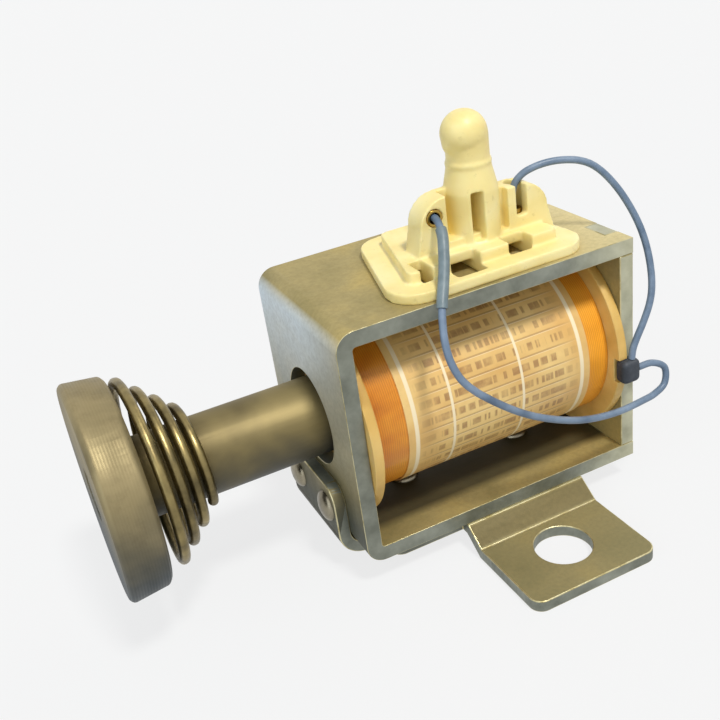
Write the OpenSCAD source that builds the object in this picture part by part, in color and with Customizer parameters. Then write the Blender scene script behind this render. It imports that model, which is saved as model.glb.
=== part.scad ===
// Open-frame push pull solenoid with a foot bracket, a moulded terminal block and two free leads.
// X runs along the plunger, away from its head. The origin is midway between the two foot holes,
// on the underside of the feet.

/* [Frame] */
// Length of the frame along the plunger
frame_l = 50; // [46:0.5:70]
// Depth of the frame from its open front to its open back
frame_w = 30; // [28:0.5:40]
// Height of the frame
frame_h = 39; // [38:0.5:50]
// Thickness of the frame's steel sheet
sheet = 2.5; // [2:0.1:2.7]
// Outer radius of the strap's two bends
bend_r = 3; // [2.8:0.1:4]
// Radius of the hole round the plunger in the left plate
plate_hole_r = 7.9; // [7.2:0.1:8.6]
// Width of each staked tenon on the right plate
tenon_w = 5; // [3:0.5:7]
// Distance of the tenons from the middle plane
tenon_y = 9; // [7:0.5:10]

/* [Bracket] */
// Thickness of the bracket's sheet
bracket_t = 2; // [1.5:0.1:2.5]
// How far the lugs are stepped down below the saddle
joggle = 2.6; // [1.5:0.1:4]
// Depth of the saddle under the frame
saddle_w = 27; // [24:0.5:28]
// Width of each lug
lug_w = 22; // [16:0.5:24]
// Distance of each lug's end from the middle plane
lug_reach = 33.6; // [31:0.2:38]
// Distance of each foot hole from the middle plane
foot_hole_y = 24.8; // [24:0.1:26]
// Offset of each foot hole along the frame, to the right in front and to the left behind
foot_hole_x = 3.2; // [0:0.1:5]
// Radius of the foot holes
foot_hole_r = 4.5; // [2.5:0.1:5.5]
// Corner radius of the lugs
lug_corner_r = 2; // [0.5:0.1:4]
// Width of the ear on the left plate
ear_w = 18; // [16:0.5:20]
// Height of the ear above the frame's underside
ear_h = 10.8; // [8.5:0.1:11.2]
// Radius of the rivets' shanks
rivet_r = 1.6; // [1:0.1:2]
// Radius of the rivets' heads
rivet_head_r = 2.6; // [2.2:0.1:2.8]

/* [Coil] */
// Thickness of the bobbin's flanges
flange_t = 1.6; // [1:0.1:2.5]
// Gap between the flanges and the frame's plates
flange_gap = 0.3; // [0.1:0.05:0.6]
// Wall of the bobbin's tube
bobbin_wall = 0.8; // [0.6:0.05:1.2]
// Outer radius of the copper winding
winding_r = 13.4; // [12:0.1:14]
// Thickness of the tape round the winding
tape_t = 0.5; // [0.3:0.05:0.8]
// Thickness of the label
label_t = 0.25; // [0.15:0.05:0.4]
// Length of the label
label_l = 32.6; // [24:0.2:36]
// Offset of the label's middle from the frame's middle
label_x = 0.8; // [-1:0.1:1.5]
// Angle that the label covers round the tape
label_arc = 210; // [150:5:260]
// Angle that the label's middle is turned up from the front
label_tilt = 20; // [-10:5:40]

/* [Plunger] */
// Radius of the plunger
plunger_r = 6.2; // [5.8:0.05:6.3]
// Radial running clearance of the plunger in its guide tube
running_gap = 0.07; // [0.02:0.01:0.1]
// Wall of the brass guide tube
guide_wall = 0.68; // [0.4:0.02:0.7]
// Free length between the head and the frame with the plunger drawn out
reach = 28; // [26:0.5:40]
// Travel of the plunger from drawn out to pulled in
stroke = 22; // [10:0.5:22]
// Length of the plunger inside the frame when drawn out
inside_l = 15; // [12:0.5:17]
// Thickness of the head
head_t = 6.5; // [4:0.1:9]
// Radius of the head at its outer face
head_r = 16.5; // [15.8:0.1:18]
// Radius of the head at the face towards the frame
head_inner_r = 15.7; // [15.6:0.1:16]
// Radius of the spigot that the head is pressed on
spigot_r = 4; // [3:0.1:5]
// Depth of the cone seat in the plunger's inner end
seat_depth = 5; // [3:0.1:6]
// Radius of the cone seat at its mouth
seat_r = 4.6; // [3.5:0.1:5]
// Gap that is left between plunger and core when pulled in
stop_gap = 0.3; // [0.1:0.05:0.5]
// Radius of the core's staked tenon
core_tenon_r = 4; // [3:0.1:5]

/* [Spring] */
// Diameter of the spring's wire
spring_wire = 1.6; // [0.8:0.1:1.8]
// Number of turns
spring_turns = 3.6; // [2.6:0.1:5]
// Radius of the first turn's centre line, against the head
spring_big_r = 14.6; // [12:0.1:14.7]
// Radial gap between the smallest turn and the plunger
spring_gap = 0.3; // [0.2:0.05:0.5]
// Length of the helix, without the wire's thickness
spring_l = 7.9; // [6:0.1:10]

/* [Terminal block] */
// Length of the block's base along its front edge
base_l = 32; // [31:0.1:32.4]
// Offset of the base along the frame
base_x = 2; // [1.8:0.1:2.2]
// Distance of the base's front edge from the middle plane
base_front = 14.3; // [13.6:0.1:14.4]
// Distance of the base's back edge from the middle plane
base_back = 10.4; // [9:0.1:11]
// How much the base's left end slants, from front to back
left_slant = 4; // [1:0.1:4.5]
// How much the base's right end slants, from front to back
right_slant = 1.8; // [0.5:0.1:2.5]
// Corner radius of the base
base_r = 4.6; // [4:0.1:5.5]
// Thickness of the base's lip
lip_t = 1.6; // [1:0.1:2]
// Width of the lip round the raised deck
lip_w = 3.4; // [3:0.1:3.5]
// Height of the raised deck above the lip
deck_t = 1.8; // [1:0.1:2.4]
// Radius of the round column in the middle
pillar_r = 4.1; // [4:0.05:4.3]
// Height of the column above the frame, up to its cone
pillar_h = 10.8; // [10.4:0.1:11]
// Height of the cone between the column and the post
cone_h = 3.4; // [3:0.1:4]
// Width of the left tower, from the column outwards
left_tower_w = 6; // [5.8:0.1:6.4]
// Height of the left tower above the frame
left_tower_h = 11.6; // [11.4:0.1:12]
// Width of the right tower, from the column outwards
right_tower_w = 7.6; // [7.2:0.1:8]
// Height of the right tower above the frame
right_tower_h = 10; // [9.8:0.1:10.4]
// Rounding of the side towers' outer shoulders
tower_r = 4.4; // [4:0.1:4.6]
// How much the side towers widen down to the base
tower_flare = 1.6; // [1:0.1:1.8]
// Depth of the side towers from front to back
tower_d = 4.2; // [4.1:0.1:5]
// Distance of the side towers' front faces from the middle plane
tower_front = 7; // [6.8:0.1:7.4]
// Radius of the post's stem
post_r = 3.2; // [3:0.05:3.3]
// Radius of the post's round knob
knob_r = 3.45; // [3.4:0.05:3.6]
// Height of the post from the cone to the knob's top
post_h = 8.3; // [8:0.1:9]
// Radius of the pegs that hold the block in the top plate
peg_r = 1.6; // [1:0.1:2]

/* [Leads] */
// Diameter of the left lead over its insulation
left_lead_d = 1.5; // [1.2:0.1:1.5]
// Diameter of the right lead over its insulation
right_lead_d = 1.1; // [1:0.1:1.5]
// Outer radius of the brass terminals
terminal_r = 1.25; // [1.2:0.05:1.4]
// Radius of the terminals' bores
terminal_bore_r = 0.85; // [0.8:0.05:0.95]

/* [Hidden] */
$fn = 64;

// Slip between parts that are pushed over or into each other
slip = 0.05;
// Overrun of a cutting tool past the face that it cuts
over = 1;

left = -frame_l / 2;
right = frame_l / 2;
under = joggle + bracket_t;
top = under + frame_h;
axis_z = under + frame_h / 2;
plate_in = left + sheet;
end_in = right - sheet;

guide_in_r = plunger_r + running_gap;
guide_out_r = guide_in_r + guide_wall;
bobbin_in_r = guide_out_r + slip;
bobbin_out_r = bobbin_in_r + bobbin_wall;
flange_r = frame_h / 2 - sheet - flange_gap;
coil_l = frame_l - 2 * sheet - 2 * slip;
tape_r = winding_r + slip + tape_t;

head_face = left - reach;
plunger_end = left + inside_l;
core_face = plunger_end + stroke + stop_gap;
spigot_recess = 0.2;
end_chamfer = 0.5;
core_peen = 0.7;
core_peen_lip = 0.9;
core_peen_r = core_tenon_r + core_peen_lip;
seat_small = 0.28;
head_edge = 0.6;
head_step = 0.2;
head_fit = 0.02;
spring_clear = 0.3;

// The spring's smallest centre radius, where it starts, and its rings in a turn and sides in a ring
spring_small_r = plunger_r + spring_gap + spring_wire / 2;
spring_start = head_face + spring_clear + spring_wire / 2;
spring_steps = 24;
spring_sides = 8;

// Slope and lengths of the stepped part of a lug
step_run = 3.6;
step_out = 0.6;
lug_root = frame_w / 2 - 0.4;
saddle_inset = 5;
saddle_left = left + saddle_inset;
saddle_right = foot_hole_x + lug_w / 2;
saddle_r = 2;
ear_corner_r = 3;
bracket_bend = bend_r - 0.5;
rivet_head_t = 1.2;
rivet_margin = 0.8;
rivet_y = ear_w / 2 - rivet_head_r - rivet_margin;
rivet_z = under + ear_h - rivet_head_r - 2 * rivet_margin;
saddle_rivet_x = 11;

// Column, cone and post, and the forms at the post's left side
pillar_offset = 1.9;
pillar_x = base_x + pillar_offset;
pillar_y = -4.4;
deck_z = top + lip_t + deck_t;
cone_top_r = post_r + 0.15;
post_ring_r = 0.7;
post_ring_in = 0.45;
post_ring_z = 0.6;
knob_lean = 0.35;
knob_flat = 0.12;
nub_r = 2.3;
nub_lean = 1.5;
nub_drop = 4.5;
// Windows at the feet of the towers: their left and right ends in X from the column, the distances
// from the middle plane between which they are open at the top, and their height further in
windows = [[-12.8, -10.8, 10.9, 7], [-7.9, -3, 12.8, 8.7], [1.9, 6, 10.9, 8.1]];
window_h = 1.8;
window_in = 3;
// Slot in the column, niche beside the left terminal and groove beside the right tower
slot_span = [-2, -0.2];
slot_low = 3.8;
slot_high = 11.2;
slot_in = 3;
niche_w = 1.6;
niche_wall = 0.75;
niche_low = 4.6;
niche_in = 3;
groove_w = 0.6;
groove_in = 1.6;

peg_x = 8.5;
peg_y = 4.5;
stake_t = 0.9;
stake_lip = 0.8;
stake_r = peg_r + stake_lip;
terminal_l = 3.4;
terminal_bore_l = 2.4;
left_terminal_drop = 2.8;
right_terminal_drop = 4.1;
right_terminal_side = 3;
right_terminal_in = 2.5;
left_terminal_x = pillar_x - pillar_r - niche_w - niche_wall - terminal_r;
left_terminal_z = top + left_tower_h - left_terminal_drop;
right_terminal_x = pillar_x + pillar_r + right_terminal_side;
right_terminal_y = right_terminal_in - tower_front;
right_terminal_z = top + right_tower_h - right_terminal_drop;
lead_slot_w = 1.8;

anchor_drop = 1.7;
anchor_z = axis_z - anchor_drop;
anchor_h = 4;
anchor_w = 2.6;
anchor_out = 1.75;
anchor_gap = 0.4;
notch_depth = 1.3;
notch_y = -flange_r + notch_depth;
anchor_front = min(-frame_w / 2 - anchor_gap, notch_y) - anchor_w;

// The leads' routes, from terminal to anchor
left_route = [[-3.8, -4.6, 52.4], [-3.8, -8, 52.4], [-4.6, -10.3, 50.4], [-6.9, -13.9, 46.9],
    [-9.4, -17, 43.7], [-10.8, -19.6, 39], [-10, -21.4, 34.6], [-6.2, -22.2, 30.4], [0.6, -22, 25],
    [9, -21.4, 20.6], [17, -20.2, 18.2], [24, -19, 17.6], [28.2, -18.2, 18.4], [29.6, -17.6, 20.2],
    [28, -17.2, 22], [26, -17, 22.4], [24.2, -17, 22.4]];
right_route = [[11, -4.5, 48], [11, -4.5, 52.4], [12.4, -4.9, 54.4], [16, -5.8, 55.4], [19.8, -6.8, 55.2],
    [23, -8.2, 54], [26, -10.2, 50], [27.8, -12.8, 44.6], [28.2, -14.8, 39.4], [27.4, -16.4, 34.2],
    [25.6, -16.8, 30.2], [23.8, -17, 27.4], [23.1, -17, 26], [23, -17, 25.2], [23, -17, 24.4]];
// Distance of the leads' rings, in diameters
ring_pitch = 2.4;
lead_sides = 8;

steel = [0.62, 0.56, 0.42];
plated = [0.6, 0.53, 0.36];
dark_steel = [0.42, 0.4, 0.35];
nylon = [0.94, 0.88, 0.66];
copper = [0.72, 0.38, 0.2];
brass = [0.8, 0.66, 0.3];
tape_colour = [0.88, 0.56, 0.18];
paper = [0.88, 0.76, 0.55];
lead_colour = [0.42, 0.48, 0.62];
fibre = [0.16, 0.17, 0.19];
spring_steel = [0.5, 0.47, 0.42];

// ---- shared shapes ----

// A cylinder along X from x
module x_rod(x, l, r, r2 = -1) {
    translate([x, 0, axis_z]) rotate([0, 90, 0]) cylinder(h = l, r1 = r, r2 = r2 < 0 ? r : r2);
}

// A tube along X from x
module x_tube(x, l, r_out, r_in) {
    difference() {
        x_rod(x, l, r_out);
        x_rod(x - over, l + 2 * over, r_in);
    }
}

// A box given by its low and high corners
module box(low, high) {
    translate(low) cube(high - low);
}

// A flat rectangle with four round corners
module round_rect(low, high, r) {
    translate([low[0] + r, low[1]]) square([high[0] - low[0] - 2 * r, high[1] - low[1]]);
    translate([low[0], low[1] + r]) square([high[0] - low[0], high[1] - low[1] - 2 * r]);
    for (x = [low[0] + r, high[0] - r], y = [low[1] + r, high[1] - r])
        translate([x, y]) circle(r = r);
}

// Stretches a flat shape in X and Z along Y, from y0 to y1
module along_y(y0, y1) {
    translate([0, y1, 0]) rotate([90, 0, 0]) linear_extrude(y1 - y0) children();
}

// Stretches a flat shape in Y and Z along X, from x0 to x1
module along_x(x0, x1) {
    translate([x0, 0, 0]) rotate([90, 0, 90]) linear_extrude(x1 - x0) children();
}

// A half of a C shape in X and Z that is round at its left corners and runs off to the right
module c_outline(x, z0, z1, r, to_x) {
    translate([x + r, z0]) square([to_x - x - r, z1 - z0]);
    translate([x, z0 + r]) square([r, z1 - z0 - 2 * r]);
    for (z = [z0 + r, z1 - r]) translate([x + r, z]) circle(r = r);
}

// A rivet whose head lies in z from 0 to its thickness, with its shank below and a flat tail
module rivet(grip) {
    cylinder(h = rivet_head_t * 0.4, r = rivet_head_r);
    translate([0, 0, rivet_head_t * 0.4])
        cylinder(h = rivet_head_t * 0.6, r1 = rivet_head_r, r2 = rivet_head_r * 0.6);
    translate([0, 0, -grip]) cylinder(h = grip, r = rivet_r);
}

// ---- sweeps along a route ----

function unit(v) = v / norm(v);

function spline(a, b, c, d, t) = 0.5 * (2 * b + (c - a) * t + (2 * a - 5 * b + 4 * c - d) * t * t
    + (3 * b - a - 3 * c + d) * t * t * t);

// Points about a step apart on a smooth line through the route's own points
function smooth_line(route, step) = let (n = len(route) - 1) [
    for (i = [0:n - 1])
        let (
            before = route[max(i - 1, 0)],
            after = route[min(i + 2, n)],
            steps = max(1, round(norm(route[i + 1] - route[i]) / step)))
        for (k = [0:steps - 1]) spline(before, route[i], route[i + 1], after, k / steps),
    route[n]];

function tangent(line, i) = unit(line[min(i + 1, len(line) - 1)] - line[max(i - 1, 0)]);

// One ring of points round the line, square to its direction
function ring(line, i, r, sides) = let (
        t = tangent(line, i),
        across = unit(cross(t, [1, 1, 0])),
        other = cross(t, across))
    [for (k = [0:sides - 1])
        line[i] + r * cos(360 * k / sides) * across + r * sin(360 * k / sides) * other];

// The faces that close a stack of rings into a solid
function ring_faces(rings, sides) = concat(
    [[for (k = [0:sides - 1]) k]],
    [for (i = [0:rings - 2], k = [0:sides - 1]) let (a = i * sides + k, b = i * sides + (k + 1) % sides)
        [b, a, a + sides]],
    [for (i = [0:rings - 2], k = [0:sides - 1]) let (a = i * sides + k, b = i * sides + (k + 1) % sides)
        [b, a + sides, b + sides]],
    [[for (k = [0:sides - 1]) (rings - 1) * sides + sides - 1 - k]]);

module lead(route, d) {
    line = smooth_line(route, ring_pitch * d);
    polyhedron(
        points = [for (i = [0:len(line) - 1]) each ring(line, i, d / 2, lead_sides)],
        faces = ring_faces(len(line), lead_sides));
}

// ---- frame ----

module frame_channel() {
    color(plated) difference() {
        along_y(-frame_w / 2, frame_w / 2) difference() {
            c_outline(left, under, top, bend_r, right);
            c_outline(plate_in, under + sheet, top - sheet, max(bend_r - sheet, 0.2), right + over);
        }
        x_rod(left - over, sheet + 2 * over, plate_hole_r);
        for (y = [-tenon_y, tenon_y])
            box([end_in, y - tenon_w / 2, under - over], [right + over, y + tenon_w / 2, top + over]);
        for (x = [-peg_x, peg_x], y = [peg_y])
            translate([base_x + x, y, top - sheet - over]) cylinder(h = sheet + 2 * over, r = peg_r + slip);
        for (x = [-saddle_rivet_x, saddle_rivet_x])
            translate([x, 0, under - over]) cylinder(h = sheet + 2 * over, r = rivet_r + slip);
        for (y = [-rivet_y, rivet_y])
            translate([left - over, y, rivet_z]) rotate([0, 90, 0])
                cylinder(h = sheet + 2 * over, r = rivet_r + slip);
    }
}

module end_plate() {
    color(plated) difference() {
        union() {
            box([end_in, -frame_w / 2, under + sheet], [right, frame_w / 2, top - sheet]);
            for (y = [-tenon_y, tenon_y])
                box([end_in, y - tenon_w / 2, under], [right, y + tenon_w / 2, top]);
        }
        x_rod(end_in - over, sheet + 2 * over, core_tenon_r + slip);
    }
}

// ---- bracket ----

// Section of a lug in Y and Z: flat foot, slope, and the root under the saddle
module lug_section() {
    polygon([
        [-lug_reach, 0], [-lug_root - step_run, 0], [-lug_root, joggle], [0, joggle],
        [0, under], [-lug_root - step_out, under], [-lug_root - step_run - step_out, bracket_t],
        [-lug_reach, bracket_t]]);
}

module lug() {
    difference() {
        intersection() {
            along_x(foot_hole_x - lug_w / 2, foot_hole_x + lug_w / 2) lug_section();
            linear_extrude(under)
                round_rect([foot_hole_x - lug_w / 2, -lug_reach], [foot_hole_x + lug_w / 2, lug_corner_r],
                    lug_corner_r);
        }
        translate([foot_hole_x, -foot_hole_y, -over]) cylinder(h = under + 2 * over, r = foot_hole_r);
    }
}

// The ear and the bend below it, wrapped round the frame's lower left corner
module ear() {
    bend_out = bracket_bend + bracket_t;
    intersection() {
        along_y(-ear_w / 2, ear_w / 2) difference() {
            c_outline(left - bracket_t, joggle, under + 2 * ear_h, bend_out, left + bend_out);
            c_outline(left, under, under + 3 * ear_h, bracket_bend, right);
        }
        along_x(left - bracket_t - over, right)
            round_rect([-ear_w / 2, -ear_h], [ear_w / 2, under + ear_h], ear_corner_r);
    }
}

module mounting_bracket() {
    color(plated) difference() {
        union() {
            lug();
            rotate([0, 0, 180]) lug();
            translate([0, 0, joggle]) linear_extrude(bracket_t)
                round_rect([saddle_left, -saddle_w / 2], [saddle_right, saddle_w / 2], saddle_r);
            box([left + bracket_bend, -ear_w / 2, joggle],
                [saddle_left + saddle_r + over, ear_w / 2, under]);
            ear();
        }
        for (x = [-saddle_rivet_x, saddle_rivet_x])
            translate([x, 0, 0]) cylinder(h = under + over, r = rivet_r + slip);
        for (y = [-rivet_y, rivet_y])
            translate([left - bracket_t - over, y, rivet_z]) rotate([0, 90, 0])
                cylinder(h = bracket_t + 2 * over, r = rivet_r + slip);
    }
}

module saddle_rivets() {
    color(steel) for (x = [-saddle_rivet_x, saddle_rivet_x])
        translate([x, 0, under + sheet]) rivet(sheet + bracket_t);
}

module ear_rivets() {
    color(steel) for (y = [-rivet_y, rivet_y])
        translate([left - bracket_t, y, rivet_z]) rotate([0, -90, 0]) rivet(sheet + bracket_t);
}

// ---- coil ----

module bobbin() {
    color(nylon) difference() {
        union() {
            x_rod(-coil_l / 2, coil_l, bobbin_out_r);
            x_rod(-coil_l / 2, flange_t, flange_r);
            x_rod(coil_l / 2 - flange_t, flange_t, flange_r);
        }
        x_rod(-coil_l / 2 - over, coil_l + 2 * over, bobbin_in_r);
        box([coil_l / 2 - flange_t - over, -flange_r - over, anchor_z - anchor_h / 2],
            [coil_l / 2 + over, notch_y, anchor_z + anchor_h / 2]);
    }
}

module winding() {
    color(copper) x_tube(-coil_l / 2 + flange_t, coil_l - 2 * flange_t, winding_r, bobbin_out_r + slip);
}

module winding_tape() {
    color(tape_colour) x_tube(-coil_l / 2 + flange_t, coil_l - 2 * flange_t, tape_r, winding_r + slip);
}

module coil_label() {
    front = 270;
    color(paper) translate([label_x - label_l / 2, 0, axis_z]) rotate([0, 90, 0])
        rotate([0, 0, front - label_tilt - label_arc / 2]) rotate_extrude(angle = label_arc)
            translate([tape_r + slip, 0]) square([label_t, label_l]);
}

module guide_tube() {
    color(brass) x_tube(-coil_l / 2, coil_l, guide_out_r, guide_in_r);
}

module core_stop() {
    nose_r = seat_r - 0.4;
    nose_l = seat_depth - 0.6;
    color(dark_steel) {
        x_rod(core_face, end_in - core_face, plunger_r);
        x_rod(core_face - nose_l, nose_l, nose_r * 0.25, nose_r);
        x_rod(end_in, sheet, core_tenon_r);
        x_rod(right, core_peen, core_peen_r, core_peen_r - core_peen / 2);
    }
}

// ---- terminal block ----

// A shape with straight sides and round corners, from its corner circles' centres (anticlockwise)
module round_shape(centres, r) {
    last = len(centres) - 1;
    polygon([for (i = [0 : last])
        let (
            a = centres[i],
            b = centres[i == last ? 0 : i + 1],
            way = (b - a) / norm(b - a),
            out = [way[1], -way[0]])
        each [a + r * out, b + r * out]]);
    for (c = centres) translate(c) circle(r = r);
}

// Outline of a side tower in X and Z, from the column's middle outwards
module side_tower(side, w, h) {
    out = pillar_r + w;
    translate([pillar_x, top]) {
        polygon([[0, 0], [side * (out + tower_flare), 0], [side * out, h - tower_r], [0, h - tower_r]]);
        translate([side > 0 ? 0 : tower_r - out, 0]) square([out - tower_r, h]);
        translate([side * (out - tower_r), h - tower_r]) circle(r = tower_r);
    }
}

// The base: a thin lip with a raised deck on it
module base_plate() {
    base_left = base_x - base_l / 2;
    base_right = base_x + base_l / 2;
    centres = [
        [base_left + base_r, base_r - base_front],
        [base_right - base_r, base_r - base_front],
        [base_right - base_r - right_slant, base_back - base_r],
        [base_left + base_r + left_slant, base_back - base_r]];
    translate([0, 0, top]) {
        linear_extrude(lip_t) round_shape(centres, base_r);
        linear_extrude(lip_t + deck_t) round_shape(centres, base_r - lip_w);
    }
}

// The side towers, with the niche and the groove beside the column
module side_towers() {
    difference() {
        along_y(-tower_front, tower_d - tower_front) {
            side_tower(-1, left_tower_w, left_tower_h);
            side_tower(1, right_tower_w, right_tower_h);
        }
        box([pillar_x - pillar_r - niche_w, -tower_front - over, top + niche_low],
            [pillar_x, -tower_front + niche_in, top + left_tower_h + over]);
        box([pillar_x, -tower_front - over, top + slot_low],
            [pillar_x + pillar_r + groove_w, -tower_front + groove_in, top + right_tower_h + over]);
    }
}

// The column and its cone, with the slot in its front
module column() {
    translate([pillar_x, pillar_y, top]) difference() {
        union() {
            cylinder(h = pillar_h, r = pillar_r);
            translate([0, 0, pillar_h]) cylinder(h = cone_h, r1 = pillar_r, r2 = cone_top_r);
        }
        box([slot_span[0], -pillar_r - over, slot_low],
            [slot_span[1], slot_in - tower_front - pillar_y, slot_high]);
    }
}

// The post on the column: a stem with a ring, and a knob that leans to the left
module post() {
    translate([pillar_x, pillar_y, top + pillar_h + cone_h]) {
        translate([0, 0, -over]) cylinder(h = post_h - knob_r + over, r = post_r);
        rotate_extrude() translate([post_r - post_ring_in, post_ring_z]) circle(r = post_ring_r);
        intersection() {
            translate([-knob_lean, 0, post_h - knob_r]) sphere(r = knob_r);
            box([-2 * knob_r, -2 * knob_r, 0], [2 * knob_r, 2 * knob_r, post_h - knob_flat]);
        }
        translate([-nub_lean, 0, post_h - nub_drop]) sphere(r = nub_r);
    }
}

// The windows at the feet of the towers
module foot_windows() {
    for (w = windows) {
        box([pillar_x + w[0], -w[2], top - over], [pillar_x + w[1], -w[3], deck_z + over]);
        box([pillar_x + w[0], -w[3] - over, top - over],
            [pillar_x + w[1], -tower_front + window_in, top + window_h]);
    }
}

// The bores that take the terminals, and the slot that lets the right lead out of its bore
module terminal_seats() {
    translate([left_terminal_x, -tower_front - over, left_terminal_z]) rotate([-90, 0, 0])
        cylinder(h = terminal_l + over, r = terminal_r + slip);
    translate([right_terminal_x, right_terminal_y, right_terminal_z - terminal_l])
        cylinder(h = terminal_l + right_tower_h, r = terminal_r + slip);
    box([right_terminal_x - lead_slot_w / 2, -tower_front - over, right_terminal_z - right_lead_d / 2],
        [right_terminal_x + lead_slot_w / 2, right_terminal_y, top + right_tower_h + over]);
}

module terminal_block() {
    color(nylon) {
        difference() {
            union() {
                base_plate();
                side_towers();
                column();
            }
            foot_windows();
            terminal_seats();
        }
        post();
        // pegs, staked over below the top plate
        for (x = [-peg_x, peg_x]) translate([base_x + x, peg_y, top - sheet - stake_t]) {
            cylinder(h = stake_t + sheet + lip_t / 2, r = peg_r);
            cylinder(h = stake_t, r1 = stake_r - stake_t / 2, r2 = stake_r);
        }
    }
}

// A brass socket with its mouth at z = 0 and its body below
module socket() {
    difference() {
        translate([0, 0, -terminal_l]) cylinder(h = terminal_l, r = terminal_r);
        translate([0, 0, -terminal_bore_l]) cylinder(h = terminal_bore_l + over, r = terminal_bore_r);
    }
}

module terminal_left() {
    color(brass) translate([left_terminal_x, -tower_front, left_terminal_z]) rotate([90, 0, 0]) socket();
}

module terminal_right() {
    color(brass) translate([right_terminal_x, right_terminal_y, right_terminal_z]) socket();
}

// ---- leads ----

// The block at the flange's rim that holds the ends of both leads
module lead_anchor() {
    color(fibre) {
        box([coil_l / 2 - flange_t, anchor_front, anchor_z - anchor_h / 2],
            [coil_l / 2, notch_y, anchor_z + anchor_h / 2]);
        box([coil_l / 2, anchor_front, anchor_z - anchor_h / 2],
            [coil_l / 2 + anchor_out, -frame_w / 2 - anchor_gap, anchor_z + anchor_h / 2]);
    }
}

module lead_wire_left() {
    color(lead_colour) lead(left_route, left_lead_d);
}

module lead_wire_right() {
    color(lead_colour) lead(right_route, right_lead_d);
}

// ---- plunger ----

module plunger_rod() {
    color(steel) difference() {
        union() {
            x_rod(head_face, plunger_end - head_face - end_chamfer, plunger_r);
            x_rod(plunger_end - end_chamfer, end_chamfer, plunger_r, plunger_r - end_chamfer);
            x_rod(head_face - head_t + spigot_recess, head_t - spigot_recess, spigot_r);
        }
        x_rod(plunger_end - seat_depth, seat_depth, seat_r * seat_small, seat_r);
    }
}

module plunger_head() {
    color(dark_steel) difference() {
        union() {
            x_rod(head_face - head_t, head_edge, head_r - head_edge, head_r);
            x_rod(head_face - head_t + head_edge, head_t - 2 * head_edge, head_r, head_inner_r + head_step);
            x_rod(head_face - head_edge, head_edge, head_inner_r + head_step, head_inner_r - head_edge);
        }
        x_rod(head_face - head_t - over, head_t + 2 * over, spigot_r + head_fit);
    }
}

// The tapering helix: centre radius and place along X at turn u
function spring_r(u) = spring_big_r + (spring_small_r - spring_big_r) * u / spring_turns;
function spring_point(u) = [spring_start + spring_l * u / spring_turns,
    spring_r(u) * cos(360 * u), axis_z + spring_r(u) * sin(360 * u)];

module return_spring() {
    rings = round(spring_turns * spring_steps);
    color(spring_steel) polyhedron(
        points = [for (i = [0:rings]) let (u = spring_turns * i / rings,
                out = [0, cos(360 * u), sin(360 * u)])
            for (k = [0:spring_sides - 1]) let (a = 360 * k / spring_sides)
                spring_point(u) + spring_wire / 2 * (cos(a) * out + [sin(a), 0, 0])],
        faces = ring_faces(rings + 1, spring_sides));
}

frame_channel();
end_plate();
mounting_bracket();
saddle_rivets();
ear_rivets();
bobbin();
winding();
winding_tape();
coil_label();
guide_tube();
core_stop();
terminal_block();
terminal_left();
terminal_right();
lead_anchor();
lead_wire_left();
lead_wire_right();
plunger_rod();
plunger_head();
return_spring();
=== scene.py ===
import math
import bmesh
import bpy
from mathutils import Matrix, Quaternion, Vector


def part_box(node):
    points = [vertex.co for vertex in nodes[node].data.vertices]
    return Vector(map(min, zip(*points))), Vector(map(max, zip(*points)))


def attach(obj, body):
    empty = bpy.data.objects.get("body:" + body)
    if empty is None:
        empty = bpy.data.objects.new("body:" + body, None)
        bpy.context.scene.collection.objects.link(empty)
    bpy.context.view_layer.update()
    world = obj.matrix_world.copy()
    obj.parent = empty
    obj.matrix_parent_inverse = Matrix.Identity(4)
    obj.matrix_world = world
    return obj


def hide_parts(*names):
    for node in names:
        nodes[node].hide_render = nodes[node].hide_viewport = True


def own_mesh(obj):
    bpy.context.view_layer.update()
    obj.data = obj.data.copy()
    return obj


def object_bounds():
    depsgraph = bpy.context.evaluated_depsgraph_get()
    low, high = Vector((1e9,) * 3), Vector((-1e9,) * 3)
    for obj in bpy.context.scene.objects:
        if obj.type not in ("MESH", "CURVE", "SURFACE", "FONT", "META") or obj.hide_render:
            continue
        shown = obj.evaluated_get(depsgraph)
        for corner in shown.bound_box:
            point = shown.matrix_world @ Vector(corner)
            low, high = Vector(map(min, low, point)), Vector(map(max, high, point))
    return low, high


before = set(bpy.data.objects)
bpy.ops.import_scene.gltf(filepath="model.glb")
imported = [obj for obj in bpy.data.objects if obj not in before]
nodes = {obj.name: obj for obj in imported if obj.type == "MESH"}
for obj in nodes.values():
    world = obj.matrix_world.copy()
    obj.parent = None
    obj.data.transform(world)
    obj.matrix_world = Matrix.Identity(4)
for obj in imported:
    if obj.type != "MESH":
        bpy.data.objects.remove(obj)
cadLow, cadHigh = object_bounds()
print("frame loaded,", len(nodes), "nodes")

mm = 0.001
plateLow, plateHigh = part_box("frame_channel")
rodLow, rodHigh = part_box("plunger_rod")
tapeLow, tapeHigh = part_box("winding_tape")
axisZ = (rodLow.z + rodHigh.z) / 2  # height of the plunger's axis


shot = {"lens": 47.7, "azimuth": -21.9, "elevation": 27.6, "roll": -8.6, "distance": 0.151,
        "aim": (-0.0146, 0.0025, 0.0292), "sensor": 36, "clip": 0.005}


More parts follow.
